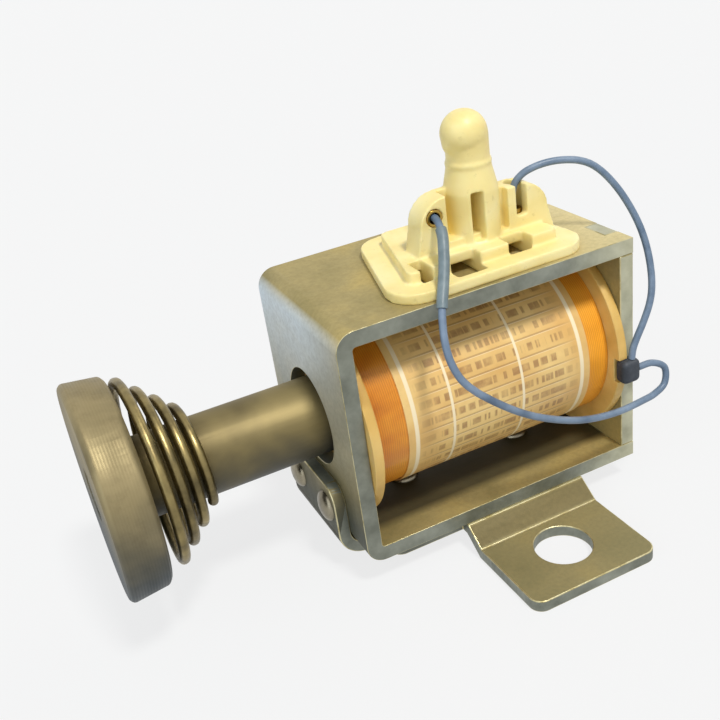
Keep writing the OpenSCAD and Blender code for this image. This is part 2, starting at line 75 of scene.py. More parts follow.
def placeCamera():
    data = bpy.data.cameras.new("camera")
    data.lens = shot["lens"]
    data.sensor_width = shot["sensor"]
    data.clip_start = shot["clip"]
    camera = bpy.data.objects.new("camera", data)
    bpy.context.scene.collection.objects.link(camera)
    turn, lift = math.radians(shot["azimuth"]), math.radians(shot["elevation"])
    back = Vector((math.sin(turn) * math.cos(lift), -math.cos(turn) * math.cos(lift), math.sin(lift)))
    camera.location = Vector(shot["aim"]) + shot["distance"] * back
    camera.rotation_mode = "QUATERNION"
    roll = Quaternion((0, 0, 1), math.radians(shot["roll"]))
    camera.rotation_quaternion = (-back).to_track_quat("-Z", "Y") @ roll
    bpy.context.scene.camera = camera


placeCamera()
print("camera placed")


def paint(code):
    # a six-digit screen colour as the linear one that the shaders take
    parts = [int(code[i:i + 2], 16) / 255 for i in (0, 2, 4)]
    return tuple(c / 12.92 if c <= 0.04045 else ((c + 0.055) / 1.055) ** 2.4 for c in parts) + (1.0,)


def addNode(tree, kind, inputs=None, **settings):
    node = tree.nodes.new(kind)
    for key, value in settings.items():
        setattr(node, key, value)
    for socket, value in (inputs or {}).items():
        if isinstance(value, bpy.types.NodeSocket):
            tree.links.new(value, node.inputs[socket])
        else:
            node.inputs[socket].default_value = value
    return node


def newMaterial(name, **values):
    material = bpy.data.materials.new(name)
    material.use_nodes = True
    shader = material.node_tree.nodes["Principled BSDF"]
    for socket, value in values.items():
        shader.inputs[socket.replace("_", " ")].default_value = value
    return material, material.node_tree, shader


def place(tree, scale=(1, 1, 1), offset=(0, 0, 0)):
    # object coordinates, which are the part's own frame
    where = addNode(tree, "ShaderNodeTexCoord").outputs["Object"]
    return addNode(tree, "ShaderNodeMapping", {"Vector": where, "Location": offset,
                                               "Scale": scale}).outputs["Vector"]


def noise(tree, where, scale, detail, rough, bend=0.0):
    return addNode(tree, "ShaderNodeTexNoise", {"Vector": where, "Scale": scale, "Detail": detail,
                                                "Roughness": rough, "Distortion": bend}).outputs["Fac"]


def ramp(tree, factor, stops):
    node = addNode(tree, "ShaderNodeValToRGB", {"Fac": factor})
    band = node.color_ramp
    while len(band.elements) < len(stops):
        band.elements.new(0.5)
    for element, (at, colour) in zip(band.elements, stops):
        element.position = at
        element.color = colour
    return node.outputs["Color"]


def level(tree, factor, low, high, outLow, outHigh):
    return addNode(tree, "ShaderNodeMapRange", {"Value": factor, "From Min": low, "From Max": high,
                                                "To Min": outLow, "To Max": outHigh}).outputs["Result"]


def mix(tree, factor, first, second):
    node = addNode(tree, "ShaderNodeMix", data_type="RGBA")
    # sockets 0, 6 and 7 are the factor and the two colours
    for socket, value in zip((node.inputs[0], node.inputs[6], node.inputs[7]), (factor, first, second)):
        if isinstance(value, bpy.types.NodeSocket):
            tree.links.new(value, socket)
        else:
            socket.default_value = value
    return node.outputs[2]


def sums(tree, kind, first, second=0.0):
    node = addNode(tree, "ShaderNodeMath", operation=kind)
    for socket, value in zip(node.inputs, (first, second)):
        if isinstance(value, bpy.types.NodeSocket):
            tree.links.new(value, socket)
        else:
            socket.default_value = value
    return node.outputs[0]


def bump(tree, shader, height, depth, strength, under=None):
    node = addNode(tree, "ShaderNodeBump", {"Height": height, "Distance": depth, "Strength": strength})
    if under:
        tree.links.new(under.outputs[0], node.inputs["Normal"])
    tree.links.new(node.outputs[0], shader.inputs["Normal"])
    return node


def feed(tree, source, shader, socket):
    tree.links.new(source, shader.inputs[socket])


def times(tree, first, second):
    return sums(tree, "MULTIPLY", first, second)


# besides the plating's own tones, this table holds painted light and shade: a pale reflection, a sheen, shade
# low on the left face, shade on the ramp and the coil's shadow on the floor plate
platingTones = {"olive": "8a7f50", "khaki": "a99966", "gold": "bfa967", "paintedReflection": "dde8ef", "paintedLight": "e3d4a0",
                "paintedShade": "434a47", "paintedRampShade": "5f5534", "footGrey": "8f8c6c", "underShade": "2e2818",
                "speck": "5f5a40", "wornEdge": "c9c19a", "roughness": (0.52, 0.68)}

# the two places on an axis between which a zone's share changes
platingZones = {"topFace": (plateHigh.z - 1 * mm, plateHigh.z - 0.3 * mm),
                "towardsRight": (2 * mm, plateHigh.x),
                "leftFace": (plateLow.x + 1 * mm, plateLow.x),
                "highUp": (axisZ - 8 * mm, plateHigh.z - 4 * mm),
                "farBack": (plateLow.y, plateLow.y + 14 * mm),
                "lowDown": (plateLow.z + 5 * mm, axisZ - 1 * mm),
                "rampFoot": (1.9 * mm, 2.3 * mm), "rampTop": (4.3 * mm, 4.9 * mm),
                "foot": (2.4 * mm, 1.9 * mm), "underCoil": (-11.5 * mm, -9.5 * mm),
                "floorTop": (7.3 * mm, 7.2 * mm), "floorUnder": (6.6 * mm, 6.9 * mm)}


def zincPlating():
    # yellow passivated zinc on sheet steel: tone clouds, painted sheen on the top face towards the right, a
    # painted pale reflection high on the left face, painted shade low down on that face and on the ramp, a
    # painted shadow of the coil on the floor plate, specks and grain
    material, tree, shader = newMaterial("zincPlating", Metallic=0.45)
    where = place(tree)
    spot = addNode(tree, "ShaderNodeSeparateXYZ", {"Vector": where}).outputs

    def zone(axis, name, outLow=0.0, outHigh=1.0):
        start, end = platingZones[name]
        return level(tree, spot[axis], start, end, outLow, outHigh)

    def tint(tone, share, name):
        return mix(tree, share, tone, paint(platingTones[name]))

    clouds = noise(tree, where, 55.0, 4.0, 0.55, 0.4)
    tone = ramp(tree, clouds, [(0.30, paint(platingTones["olive"])), (0.5, paint(platingTones["khaki"])),
                               (0.72, paint(platingTones["gold"]))])
    # painted sheen: the top face turns paler and brighter towards the right
    tone = tint(tone, times(tree, zone("Z", "topFace"), zone("X", "towardsRight", 0.0, 0.85)), "paintedLight")
    onLeft = zone("X", "leftFace")
    patchy = level(tree, clouds, 0.25, 0.7, 1.0, 0.8)
    upperBack = times(tree, zone("Y", "farBack", 0.45, 1.0), patchy)
    # painted reflection: a pale bluish white high on the left face, towards the back
    tone = tint(tone, times(tree, times(tree, onLeft, zone("Z", "highUp")), upperBack), "paintedReflection")
    # painted shade: the left face darkens towards the bottom
    tone = tint(tone, times(tree, onLeft, zone("Z", "lowDown", 0.9, 0.0)), "paintedShade")
    # painted shade on the ramp between the foot and the frame
    onRamp = times(tree, zone("Z", "rampFoot"), zone("Z", "rampTop", 1.0, 0.0))
    tone = tint(tone, times(tree, onRamp, 0.9), "paintedRampShade")
    tone = tint(tone, zone("Z", "foot", 0.0, 0.5), "footGrey")
    # painted shadow of the coil on the floor plate, towards the back
    onFloor = times(tree, zone("Z", "floorTop"), zone("Z", "floorUnder"))
    tone = tint(tone, times(tree, onFloor, zone("Y", "underCoil", 0.0, 0.85)), "underShade")
    grain = noise(tree, place(tree, (60, 900, 60)), 1.0, 3.0, 0.6)
    speck = noise(tree, where, 1500.0, 2.0, 0.6)
    tone = tint(tone, level(tree, speck, 0.35, 0.75, 0.0, 0.2), "speck")
    feed(tree, tone, shader, "Base Color")
    low, high = platingTones["roughness"]
    feed(tree, level(tree, mix(tree, 0.5, grain, speck), 0.3, 0.7, low, high), shader, "Roughness")
    coarse = bump(tree, shader, grain, 0.02 * mm, 0.5)
    bump(tree, shader, speck, 0.015 * mm, 0.5, coarse)
    return material


edgeTones = {"dull": ("6e7166", "93968a"), "paintedBright": ("a9a78c", "cfcdb2"), "worn": "9c9061"}


def cutSteel():
    # sheared edges of the sheet, greyer than its faces, with painted light that makes them brighter towards
    # the right
    material, tree, shader = newMaterial("cutSteel", Metallic=0.6)
    where = place(tree)
    patches = noise(tree, where, 220.0, 4.0, 0.6)
    dull = ramp(tree, patches, [(0.3, paint(edgeTones["dull"][0])), (0.7, paint(edgeTones["dull"][1]))])
    paintedBright = ramp(tree, patches, [(0.3, paint(edgeTones["paintedBright"][0])), (0.7, paint(edgeTones["paintedBright"][1]))])
    across = addNode(tree, "ShaderNodeSeparateXYZ", {"Vector": where}).outputs["X"]
    # painted light: the edges turn brighter towards the right
    tone = mix(tree, level(tree, across, plateHigh.x * 0.5, plateHigh.x, 0.0, 1.0), dull, paintedBright)
    feed(tree, tone, shader, "Base Color")
    tear = noise(tree, place(tree, (500, 2500, 500)), 1.0, 3.0, 0.6)
    feed(tree, level(tree, tear, 0.3, 0.7, 0.38, 0.6), shader, "Roughness")
    bump(tree, shader, tear, 0.03 * mm, 0.5)
    return material


def wornSteel():
    # plating rubbed thin along the edges
    material, tree, shader = newMaterial("wornSteel", Metallic=0.8)
    wear = noise(tree, place(tree), 380.0, 4.0, 0.65)
    tone = ramp(tree, wear, [(0.35, paint(edgeTones["worn"])), (0.55, paint(platingTones["wornEdge"]))])
    feed(tree, tone, shader, "Base Color")
    feed(tree, level(tree, wear, 0.3, 0.7, 0.45, 0.28), shader, "Roughness")
    return material


rustSpot = "4a3a22"
ringScale = 0.314  # a wave texture's scale for one ring in a metre


def turnedSteel(name, dark, light, pitch, roughness, metal=0.9, stain=0.0, underShade=None):
    # steel turned on a lathe: fine rings about the plunger's axis, rust spots, and painted shade towards the
    # underside where asked for
    material, tree, shader = newMaterial(name, Metallic=metal)
    where = place(tree, offset=(0, 0, -axisZ))
    clouds = noise(tree, where, 90.0, 3.0, 0.5, 0.3)
    tone = ramp(tree, clouds, [(0.3, paint(dark)), (0.7, paint(light))])
    if stain:
        spots = level(tree, noise(tree, where, 320.0, 5.0, 0.7), 0.5, 0.72, 0.0, stain)
        tone = mix(tree, spots, tone, paint(rustSpot))
    if underShade:
        # painted shade: darker and bluer towards the underside
        height = addNode(tree, "ShaderNodeSeparateXYZ", {"Vector": where}).outputs["Z"]
        height = sums(tree, "ADD", height, times(tree, clouds, underShade["wander"]))
        shadeShare = level(tree, height, underShade["from"], underShade["to"], 0.0, underShade["share"])
        tone = mix(tree, shadeShare, tone, paint(underShade["tone"]))
    feed(tree, tone, shader, "Base Color")
    scale = ringScale / pitch
    rings = addNode(tree, "ShaderNodeTexWave", {"Vector": where, "Scale": scale, "Distortion": 0.6,
                                                "Detail": 2.0, "Detail Scale": 1.5}, wave_type="BANDS",
                    bands_direction="X").outputs["Fac"]
    faceRings = addNode(tree, "ShaderNodeTexWave", {"Vector": where, "Scale": scale, "Distortion": 0.4,
                                                    "Detail": 1.0}, wave_type="RINGS",
                        rings_direction="X").outputs["Fac"]
    tool = mix(tree, 0.5, rings, faceRings)
    low, high = roughness
    feed(tree, level(tree, mix(tree, 0.5, tool, clouds), 0.25, 0.75, low, high), shader, "Roughness")
    bump(tree, shader, tool, 0.012 * mm, 0.6)
    return material


nylonSkin = {"glow": 0.12, "depth": 0.0012, "spread": (1.0, 0.7, 0.35), "dust": "a08a50"}


def mouldedNylon(name, shade, body, light, gloss=(0.34, 0.5)):
    # natural nylon: slightly see-through, with faint flow clouds and a fine moulded skin
    material, tree, shader = newMaterial(name, Subsurface_Weight=nylonSkin["glow"],
                                         Subsurface_Radius=nylonSkin["spread"],
                                         Subsurface_Scale=nylonSkin["depth"], IOR=1.52)
    where = place(tree)
    flow = noise(tree, place(tree, (1, 1, 1.3)), 110.0, 3.0, 0.45, 0.3)
    tone = ramp(tree, flow, [(0.25, paint(shade)), (0.5, paint(body)), (0.75, paint(light))])
    dust = level(tree, noise(tree, where, 900.0, 3.0, 0.7), 0.62, 0.8, 0.0, 0.3)
    tone = mix(tree, dust, tone, paint(nylonSkin["dust"]))
    feed(tree, tone, shader, "Base Color")
    skin = noise(tree, where, 1300.0, 3.0, 0.55)
    low, high = gloss
    feed(tree, level(tree, skin, 0.3, 0.7, low, high), shader, "Roughness")
    swell = bump(tree, shader, flow, 0.12 * mm, 0.35)
    bump(tree, shader, skin, 0.012 * mm, 0.5, swell)
    return material


tapeTones = {"dark": "bd6d12", "amber": "dd8a1c", "light": "f0a42c", "paintedLight": "ffb63a", "groove": "8a440e",
             "wirePitch": 0.34 * mm}


def amberTape():
    # clear amber tape pulled tight over the wires, whose turns show through, painted brighter towards its
    # right end
    material, tree, shader = newMaterial("amberTape", Coat_Weight=0.3, Coat_Roughness=0.15, IOR=1.45)
    where = place(tree, offset=(0, 0, -axisZ))
    clouds = noise(tree, place(tree, (0.5, 1, 1)), 160.0, 3.0, 0.5, 0.6)
    tone = ramp(tree, clouds, [(0.28, paint(tapeTones["dark"])), (0.5, paint(tapeTones["amber"])),
                               (0.75, paint(tapeTones["light"]))])
    across = addNode(tree, "ShaderNodeSeparateXYZ", {"Vector": where}).outputs["X"]
    # painted light: the tape turns brighter towards its right end
    tone = mix(tree, level(tree, across, 0.0, tapeHigh.x, 0.0, 0.6), tone, paint(tapeTones["paintedLight"]))
    scale = ringScale / tapeTones["wirePitch"]
    turns = addNode(tree, "ShaderNodeTexWave", {"Vector": where, "Scale": scale, "Distortion": 0.8,
                                                "Detail": 2.0, "Detail Scale": 0.6}, wave_type="BANDS",
                    bands_direction="X").outputs["Fac"]
    tone = mix(tree, level(tree, turns, 0.0, 0.45, 0.28, 0.0), tone, paint(tapeTones["groove"]))
    feed(tree, tone, shader, "Base Color")
    feed(tree, level(tree, clouds, 0.3, 0.7, 0.3, 0.5), shader, "Roughness")
    wires = bump(tree, shader, turns, 0.03 * mm, 0.6)
    bump(tree, shader, clouds, 0.25 * mm, 0.4, wires)
    return material


labelRuling = {"paper": "ecca84", "warm": "d8a85e", "fibre": "c79f63", "line": "f3e2bd", "ink": "8a5c38",
               "rows": 18, "columns": (0.24, 0.62), "columnWidth": 0.008,
               "margin": 0.045, "marginWidth": 0.012, "innerHeight": 0.49,
               "bars": {"count": 40.0, "jump": 7.3, "share": (0.44, 0.5), "ink": 0.85},
               "barRow": (0.48, 0.24), "inkRule": (0.96, 0.06, 0.45), "paleRule": (0.0, 0.05, 0.5)}


def ruledPaper():
    # buff label with a plain ruled table whose cells hold broken bars, laid out on the label's own UV map
    material, tree, shader = newMaterial("ruledPaper", Coat_Weight=0.25, Coat_Roughness=0.3)
    sheet = addNode(tree, "ShaderNodeTexCoord").outputs["UV"]
    split = addNode(tree, "ShaderNodeSeparateXYZ", {"Vector": sheet})
    along, around = split.outputs["X"], split.outputs["Y"]
    fibres = noise(tree, place(tree), 700.0, 4.0, 0.65)
    patches = noise(tree, place(tree), 90.0, 3.0, 0.5)
    tone = ramp(tree, patches, [(0.3, paint(labelRuling["warm"])), (0.62, paint(labelRuling["paper"]))])
    tone = mix(tree, level(tree, fibres, 0.4, 0.8, 0.0, 0.25), tone, paint(labelRuling["fibre"]))

    def near(value, target, width):
        # 1 where the value lies within a width of the target, with a soft border
        off = sums(tree, "ABSOLUTE", sums(tree, "SUBTRACT", value, target))
        return level(tree, off, width * 0.7, width, 1.0, 0.0)

    def rowRule(target, width, strength):
        return times(tree, near(inRow, target, width), times(tree, inside, strength))

    margin = labelRuling["margin"]
    inside = times(tree, near(along, 0.5, 0.5 - margin),
                   near(around, 0.5, labelRuling["innerHeight"] - margin / 2))
    scaled = times(tree, around, float(labelRuling["rows"]))
    row, inRow = sums(tree, "FLOOR", scaled), sums(tree, "FRACT", scaled)
    # each row draws its bars from another stretch of the noise
    bars = labelRuling["bars"]
    spread = addNode(tree, "ShaderNodeCombineXYZ", {"X": times(tree, along, bars["count"]),
                                                    "Y": times(tree, row, bars["jump"])}).outputs[0]
    low, high = bars["share"]
    strokes = times(tree, level(tree, noise(tree, spread, 1.0, 1.0, 0.5), low, high, 0.0, 1.0), bars["ink"])
    faded = level(tree, noise(tree, place(tree), 420.0, 3.0, 0.7), 0.3, 0.6, 0.3, 0.8)
    ink = times(tree, times(tree, strokes, near(inRow, *labelRuling["barRow"])), faded)
    tone = mix(tree, times(tree, ink, inside), tone, paint(labelRuling["ink"]))
    tone = mix(tree, rowRule(*labelRuling["inkRule"]), tone, paint(labelRuling["ink"]))
    rules = rowRule(*labelRuling["paleRule"])
    for column in labelRuling["columns"]:
        line = times(tree, near(along, column, labelRuling["columnWidth"]), inside)
        rules = sums(tree, "MAXIMUM", rules, line)
    for edge in (margin, 1 - margin):
        rules = sums(tree, "MAXIMUM", rules, near(along, edge, labelRuling["marginWidth"]))
    feed(tree, mix(tree, rules, tone, paint(labelRuling["line"])), shader, "Base Color")
    feed(tree, level(tree, fibres, 0.3, 0.7, 0.42, 0.6), shader, "Roughness")
    creases = noise(tree, place(tree), 60.0, 2.0, 0.5, 0.8)
    creased = bump(tree, shader, creases, 0.35 * mm, 0.25)
    bump(tree, shader, fibres, 0.02 * mm, 0.5, creased)
    return material


def leadSkin(name, dark, light):
    # plastic insulation, slightly dusty
    material, tree, shader = newMaterial(name, Coat_Weight=0.1, Coat_Roughness=0.3)
    where = place(tree)
    tone = ramp(tree, noise(tree, where, 240.0, 3.0, 0.6), [(0.3, paint(dark)), (0.7, paint(light))])
    feed(tree, tone, shader, "Base Color")
    skin = noise(tree, where, 2600.0, 2.0, 0.6)
    feed(tree, level(tree, skin, 0.3, 0.7, 0.38, 0.55), shader, "Roughness")
    bump(tree, shader, skin, 0.012 * mm, 0.5)
    return material


def plainMetal(name, dark, light, roughness, grainScale=700.0, metal=1.0):
    # drawn or stamped metal with faint clouds and a fine grain; with no metal in it, pressed fibre
    material, tree, shader = newMaterial(name, Metallic=metal)
    where = place(tree)
    clouds = noise(tree, where, grainScale * 0.3, 4.0, 0.6)
    feed(tree, ramp(tree, clouds, [(0.3, paint(dark)), (0.7, paint(light))]), shader, "Base Color")
    grain = noise(tree, where, grainScale * 2.5, 2.0, 0.6)
    low, high = roughness
    feed(tree, level(tree, grain, 0.3, 0.7, low, high), shader, "Roughness")
    bump(tree, shader, grain, 0.01 * mm, 0.5)
    return material


plating, cutFace, wornEdge = zincPlating(), cutSteel(), wornSteel()
# the rod's and the head's last tables are painted shade, darker and bluer towards their undersides
rodSteel = turnedSteel("groundRod", "5e5439", "877951", 0.18 * mm, (0.42, 0.55), 0.7, 0.0,
                       {"tone": "36424a", "share": 0.75, "from": 8 * mm, "to": -1 * mm, "wander": 10 * mm})
headSteel = turnedSteel("turnedHead", "6f6548", "988a66", 0.42 * mm, (0.45, 0.62), 0.7, 0.25,
                        {"tone": "36424a", "share": 0.9, "from": 12 * mm, "to": -4 * mm, "wander": 10 * mm})
coreSteel = turnedSteel("coreSteel", "5f5e58", "8a867a", 0.3 * mm, (0.35, 0.5))
blockNylon = mouldedNylon("blockNylon", "e2cb7e", "f3e19b", "faeebb")
bobbinNylon = mouldedNylon("bobbinNylon", "c39a4c", "dcb566", "e8ca84", (0.4, 0.58))
tapeSkin, paperSkin = amberTape(), ruledPaper()
leadCover = leadSkin("leadCover", "52667d", "7c8ea4")
sleeveCover = leadSkin("sleeveCover", "4f6068", "7a898f")
springWire = plainMetal("springWire", "5c533b", "a39262", (0.3, 0.46))
rivetSteel = plainMetal("rivetSteel", "6d675a", "a49c86", (0.25, 0.42))
yellowBrass = plainMetal("yellowBrass", "8f7434", "c9a757", (0.22, 0.4))
copperWire = plainMetal("copperWire", "7c3f20", "b8683a", (0.3, 0.45))
darkFibre = plainMetal("darkFibre", "20242b", "3a4049", (0.5, 0.7), 900.0, 0.0)
print("finishes made")


edgeTest = {"start": 0.02 * mm, "depth": 1.3}
softEdge = {"weld": 0.002 * mm, "flat": 0.6, "sharp": 32}


def isCut(poly, owner, sheet):
    # a face is a cut edge where the metal behind it is deeper than the sheet
    inward = -poly.normal
    hit, spot = owner.ray_cast(poly.center + inward * edgeTest["start"], inward)[:2]
    return hit and (spot - poly.center).length > sheet * edgeTest["depth"]


def soften(name, width, materials, segments, sheet=None, wornSlot=None):
    # dresses a solid of the CAD's and rounds its edges; on sheet metal the cut faces take the second finish
    node = nodes[name]
    node.data.materials.clear()
    for material in materials:
        node.data.materials.append(material)
    for poly in node.data.polygons:
        poly.material_index = 1 if sheet and isCut(poly, node, sheet) else 0
    weld = node.modifiers.new("weld", "WELD")
    weld.merge_threshold = softEdge["weld"]
    flat = node.modifiers.new("flatFaces", "DECIMATE")
    flat.decimate_type = "DISSOLVE"
    flat.angle_limit = math.radians(softEdge["flat"])
    flat.delimit = {"MATERIAL"}
    bevel = node.modifiers.new("softEdges", "BEVEL")
    bevel.width = width
    bevel.segments = segments
    bevel.limit_method = "ANGLE"
    bevel.angle_limit = math.radians(softEdge["sharp"])
    bevel.harden_normals = True
    if wornSlot is not None:
        bevel.material = wornSlot


sheetThick = {"frame": 2.5 * mm, "bracket": 2.0 * mm}
# each solid with the width of its rounded edges, then its sheet or its finish and the rounding's steps
sheetParts = (("frame_channel", 0.22 * mm, "frame"), ("end_plate", 0.2 * mm, "frame"),
              ("mounting_bracket", 0.22 * mm, "bracket"))
solidParts = (("bobbin", 0.18 * mm, bobbinNylon, 2), ("winding_tape", 0.05 * mm, tapeSkin, 2),
              ("winding", 0.05 * mm, copperWire, 2), ("guide_tube", 0.08 * mm, yellowBrass, 2),
              ("core_stop", 0.15 * mm, coreSteel, 2), ("lead_anchor", 0.9 * mm, darkFibre, 4),
              ("plunger_rod", 0.15 * mm, rodSteel, 2), ("plunger_head", 0.3 * mm, headSteel, 3),
              ("terminal_left", 0.1 * mm, yellowBrass, 2), ("terminal_right", 0.1 * mm, yellowBrass, 2))
for name, width, sheet in sheetParts:
    soften(name, width, [plating, cutFace, wornEdge], 3, sheetThick[sheet], 2)
for name, width, material, segments in solidParts:
    soften(name, width, [material], segments)
print("CAD pieces dressed")


def newPiece(name, build, material, body, smooth=35):
    mesh = bpy.data.meshes.new(name)
    shape = bmesh.new()
    build(shape)
    bmesh.ops.recalc_face_normals(shape, faces=shape.faces)
    shape.to_mesh(mesh)
    shape.free()
    mesh.materials.append(material)
    piece = bpy.data.objects.new(name, mesh)
    bpy.context.scene.collection.objects.link(piece)
    for poly in mesh.polygons:
        poly.use_smooth = True
    mesh.set_sharp_from_angle(angle=math.radians(smooth))
    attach(piece, body)
    return piece


def lathe(shape, profile, origin, axis, steps):
    # turns (along, radius) points about an axis; the profile starts and ends on the axis or closes on itself
    aim = Vector(axis).normalized()
    across = aim.orthogonal().normalized()
    other = aim.cross(across)
    rings = []
    for along, radius in profile:
        centre = Vector(origin) + aim * along
        if radius < 1e-7:
            rings.append([shape.verts.new(centre)])
        else:
            rings.append([shape.verts.new(centre + radius * (math.cos(a) * across + math.sin(a) * other))
                          for a in (2 * math.pi * i / steps for i in range(steps))])
    for first, second in zip(rings, rings[1:]):
        for i in range(steps):
            j = (i + 1) % steps
            ring = [first[i % len(first)], first[j % len(first)],
                    second[j % len(second)], second[i % len(second)]]
            shape.faces.new(list(dict.fromkeys(ring)))


rivetShape = {"headRadius": 2.55 * mm, "headHeight": 1.15 * mm, "shankRadius": 1.6 * mm,
              "clear": 0.05 * mm, "seat": 1.2 * mm, "steps": 48}  # clear and seat place a head in its solid


def rivetProfile(grip):
    r, h = rivetShape["headRadius"], rivetShape["headHeight"]
    dome = [(h * math.cos(math.radians(a)) if a < 90 else 0.0, r * math.sin(math.radians(a)))
            for a in range(0, 91, 10)]
    return dome + [(0.0, rivetShape["shankRadius"]), (-grip, rivetShape["shankRadius"]), (-grip, 0.0)]


def buildRivets():
    grip = sheetThick["frame"] + sheetThick["bracket"]
    rows = (("ear_rivets", "ear_rivet", (-1, 0, 0)), ("saddle_rivets", "saddle_rivet", (0, 0, 1)))
    for node, name, axis in rows:
        low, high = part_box(node)
        r, seat = rivetShape["headRadius"] + rivetShape["clear"], rivetShape["seat"]
        if axis[0]:
            spots = [(low.x + seat, y, (low.z + high.z) / 2) for y in (low.y + r, high.y - r)]
        else:
            spots = [(x, 0, high.z - seat) for x in (low.x + r, high.x - r)]
        for i, spot in enumerate(spots):
            piece = newPiece(f"{name}_{i + 1}",
                             lambda shape: lathe(shape, rivetProfile(grip), spot, axis, rivetShape["steps"]),
                             rivetSteel, "housing")
            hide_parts(node)


buildRivets()
print("rivets turned")


springShape = {"wire": 1.6 * mm, "turns": 3.6, "bigRadius": 14.6 * mm, "smallRadius": 7.3 * mm,
               "length": 7.9 * mm, "stepsPerTurn": 48, "sides": 14}


def buildSpring():
    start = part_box("return_spring")[0].x + springShape["wire"] / 2
    count = int(springShape["turns"] * springShape["stepsPerTurn"])
    sides, thick = springShape["sides"], springShape["wire"] / 2
    big, small = springShape["bigRadius"], springShape["smallRadius"]
    along = Vector((1, 0, 0))

    def helix(shape):
        # the wire's rings of points, wound from the big turn to the small one
        rings = []
        for i in range(count + 1):
            turn = springShape["turns"] * i / count
            share = turn / springShape["turns"]
            radius = big + (small - big) * share
            out = Vector((0, math.cos(2 * math.pi * turn), math.sin(2 * math.pi * turn)))
            centre = Vector((start + springShape["length"] * share, 0, axisZ)) + radius * out
            rings.append([shape.verts.new(centre + thick * (math.cos(a) * out + math.sin(a) * along))
                          for a in (2 * math.pi * k / sides for k in range(sides))])
        for first, second in zip(rings, rings[1:]):
            for k in range(sides):
                j = (k + 1) % sides
                shape.faces.new((first[k], first[j], second[j], second[k]))
        shape.faces.new(rings[0])
        shape.faces.new(rings[-1])

    piece = newPiece("coil_spring", helix, springWire, "spring", 60)
    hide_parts("return_spring")
    return piece


spring = buildSpring()
print("spring wound")


blockSkin = {"voxel": 0.2 * mm, "smoothing": 0.6, "passes": 6}


def buildBlock():
    # the moulding gets its round corners from a fine remesh that is then smoothed
    source = nodes["terminal_block"]
    piece = bpy.data.objects.new("moulded_block", source.data.copy())
    bpy.context.scene.collection.objects.link(piece)
    piece.data.materials.clear()
    piece.data.materials.append(blockNylon)
    for poly in piece.data.polygons:
        poly.material_index = 0
    weld = piece.modifiers.new("weld", "WELD")
    weld.merge_threshold = softEdge["weld"]
    skin = piece.modifiers.new("skin", "REMESH")
    skin.mode = "VOXEL"
    skin.voxel_size = blockSkin["voxel"]
    skin.use_smooth_shade = True
    ease = piece.modifiers.new("ease", "SMOOTH")
    ease.factor = blockSkin["smoothing"]
    ease.iterations = blockSkin["passes"]
    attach(piece, "housing")
    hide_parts("terminal_block")


buildBlock()
print("terminal block moulded")


labelSheet = {"thick": 0.14 * mm, "gap": 0.03 * mm, "arc": 210, "tilt": 20, "columns": 40, "rows": 96,
              "lift": 0.1 * mm, "innerLift": 0.6, "rim": 0.05, "waves": ((5, 9), (4, 3))}


def buildLabel():
    low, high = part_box("coil_label")
    length = high.x - low.x
    inner = (tapeHigh.z - tapeLow.z) / 2 + labelSheet["gap"]
    columns, rows = labelSheet["columns"], labelSheet["rows"]
    rim, (broad, fine) = labelSheet["rim"], labelSheet["waves"]

    def sheet(shape):
        layer = shape.loops.layers.uv.new("sheet")
        grids = []
        for outer in (1, 0):
            grid = []
            for i in range(columns + 1):
                line = []
                for j in range(rows + 1):
                    u, v = i / columns, j / rows
                    angle = math.radians(180 - labelSheet["tilt"] + labelSheet["arc"] * (v - 0.5))
                    swell = math.sin(broad[0] * u + broad[1] * v) * math.sin(fine[0] * u + fine[1] * v)
                    wave = labelSheet["lift"] * (0.5 + 0.5 * swell)
                    wave *= labelSheet["innerLift"] if rim < u < 1 - rim else 1.0
                    radius = inner + wave + outer * labelSheet["thick"]
                    across, height = radius * math.cos(angle), axisZ + radius * math.sin(angle)
                    line.append(shape.verts.new(Vector((low.x + length * u, across, height))))
                grid.append(line)
            grids.append(grid)
        for grid in grids:
            for i in range(columns):
                for j in range(rows):
                    face = shape.faces.new((grid[i][j], grid[i + 1][j], grid[i + 1][j + 1], grid[i][j + 1]))
                    for loop, (a, b) in zip(face.loops, ((i, j), (i + 1, j), (i + 1, j + 1), (i, j + 1))):
                        loop[layer].uv = (a / columns, b / rows)
        top, bottom = grids
        border = [(i, 0) for i in range(columns)] + [(columns, j) for j in range(rows)]
        border += [(i, rows) for i in range(columns, 0, -1)] + [(0, j) for j in range(rows, 0, -1)]
        for (a, b), (c, d) in zip(border, border[1:] + border[:1]):
            shape.faces.new((top[a][b], top[c][d], bottom[c][d], bottom[a][b]))

    piece = newPiece("ruled_label", sheet, paperSkin, "housing", 50)
    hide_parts("coil_label")


buildLabel()
print("label laid")


# the leads' routes in millimetres, from terminal to anchor
leftRoute = [(-3.8, -4.6, 52.4), (-3.8, -8, 52.4), (-4.6, -10.3, 50.4), (-6.9, -13.9, 46.9),
             (-9.4, -17, 43.7), (-10.8, -19.6, 39), (-10, -21.4, 34.6), (-6.2, -22.2, 30.4),
             (0.6, -22, 25), (9, -21.4, 20.6), (17, -20.2, 18.2), (24, -19, 17.5),
             (27.2, -18.4, 17.5), (28.9, -18.1, 18.2), (29.6, -17.7, 19.95), (28.9, -17.4, 21.7),
             (27.2, -17.15, 22.4), (25.6, -17, 22.4), (24.2, -17, 22.4)]
rightRoute = [(11, -4.5, 48), (11, -4.5, 52.4), (12.4, -4.9, 54.4), (16, -5.8, 55.4), (19.8, -6.8, 55.2),
              (23, -8.2, 54), (26, -10.2, 50), (27.8, -12.8, 44.6), (28.2, -14.8, 39.4), (27.4, -16.4, 34.2),
              (25.6, -16.8, 30.2), (23.8, -17, 27.4), (23.1, -17, 26), (23, -17, 25.2), (23, -17, 24.4)]


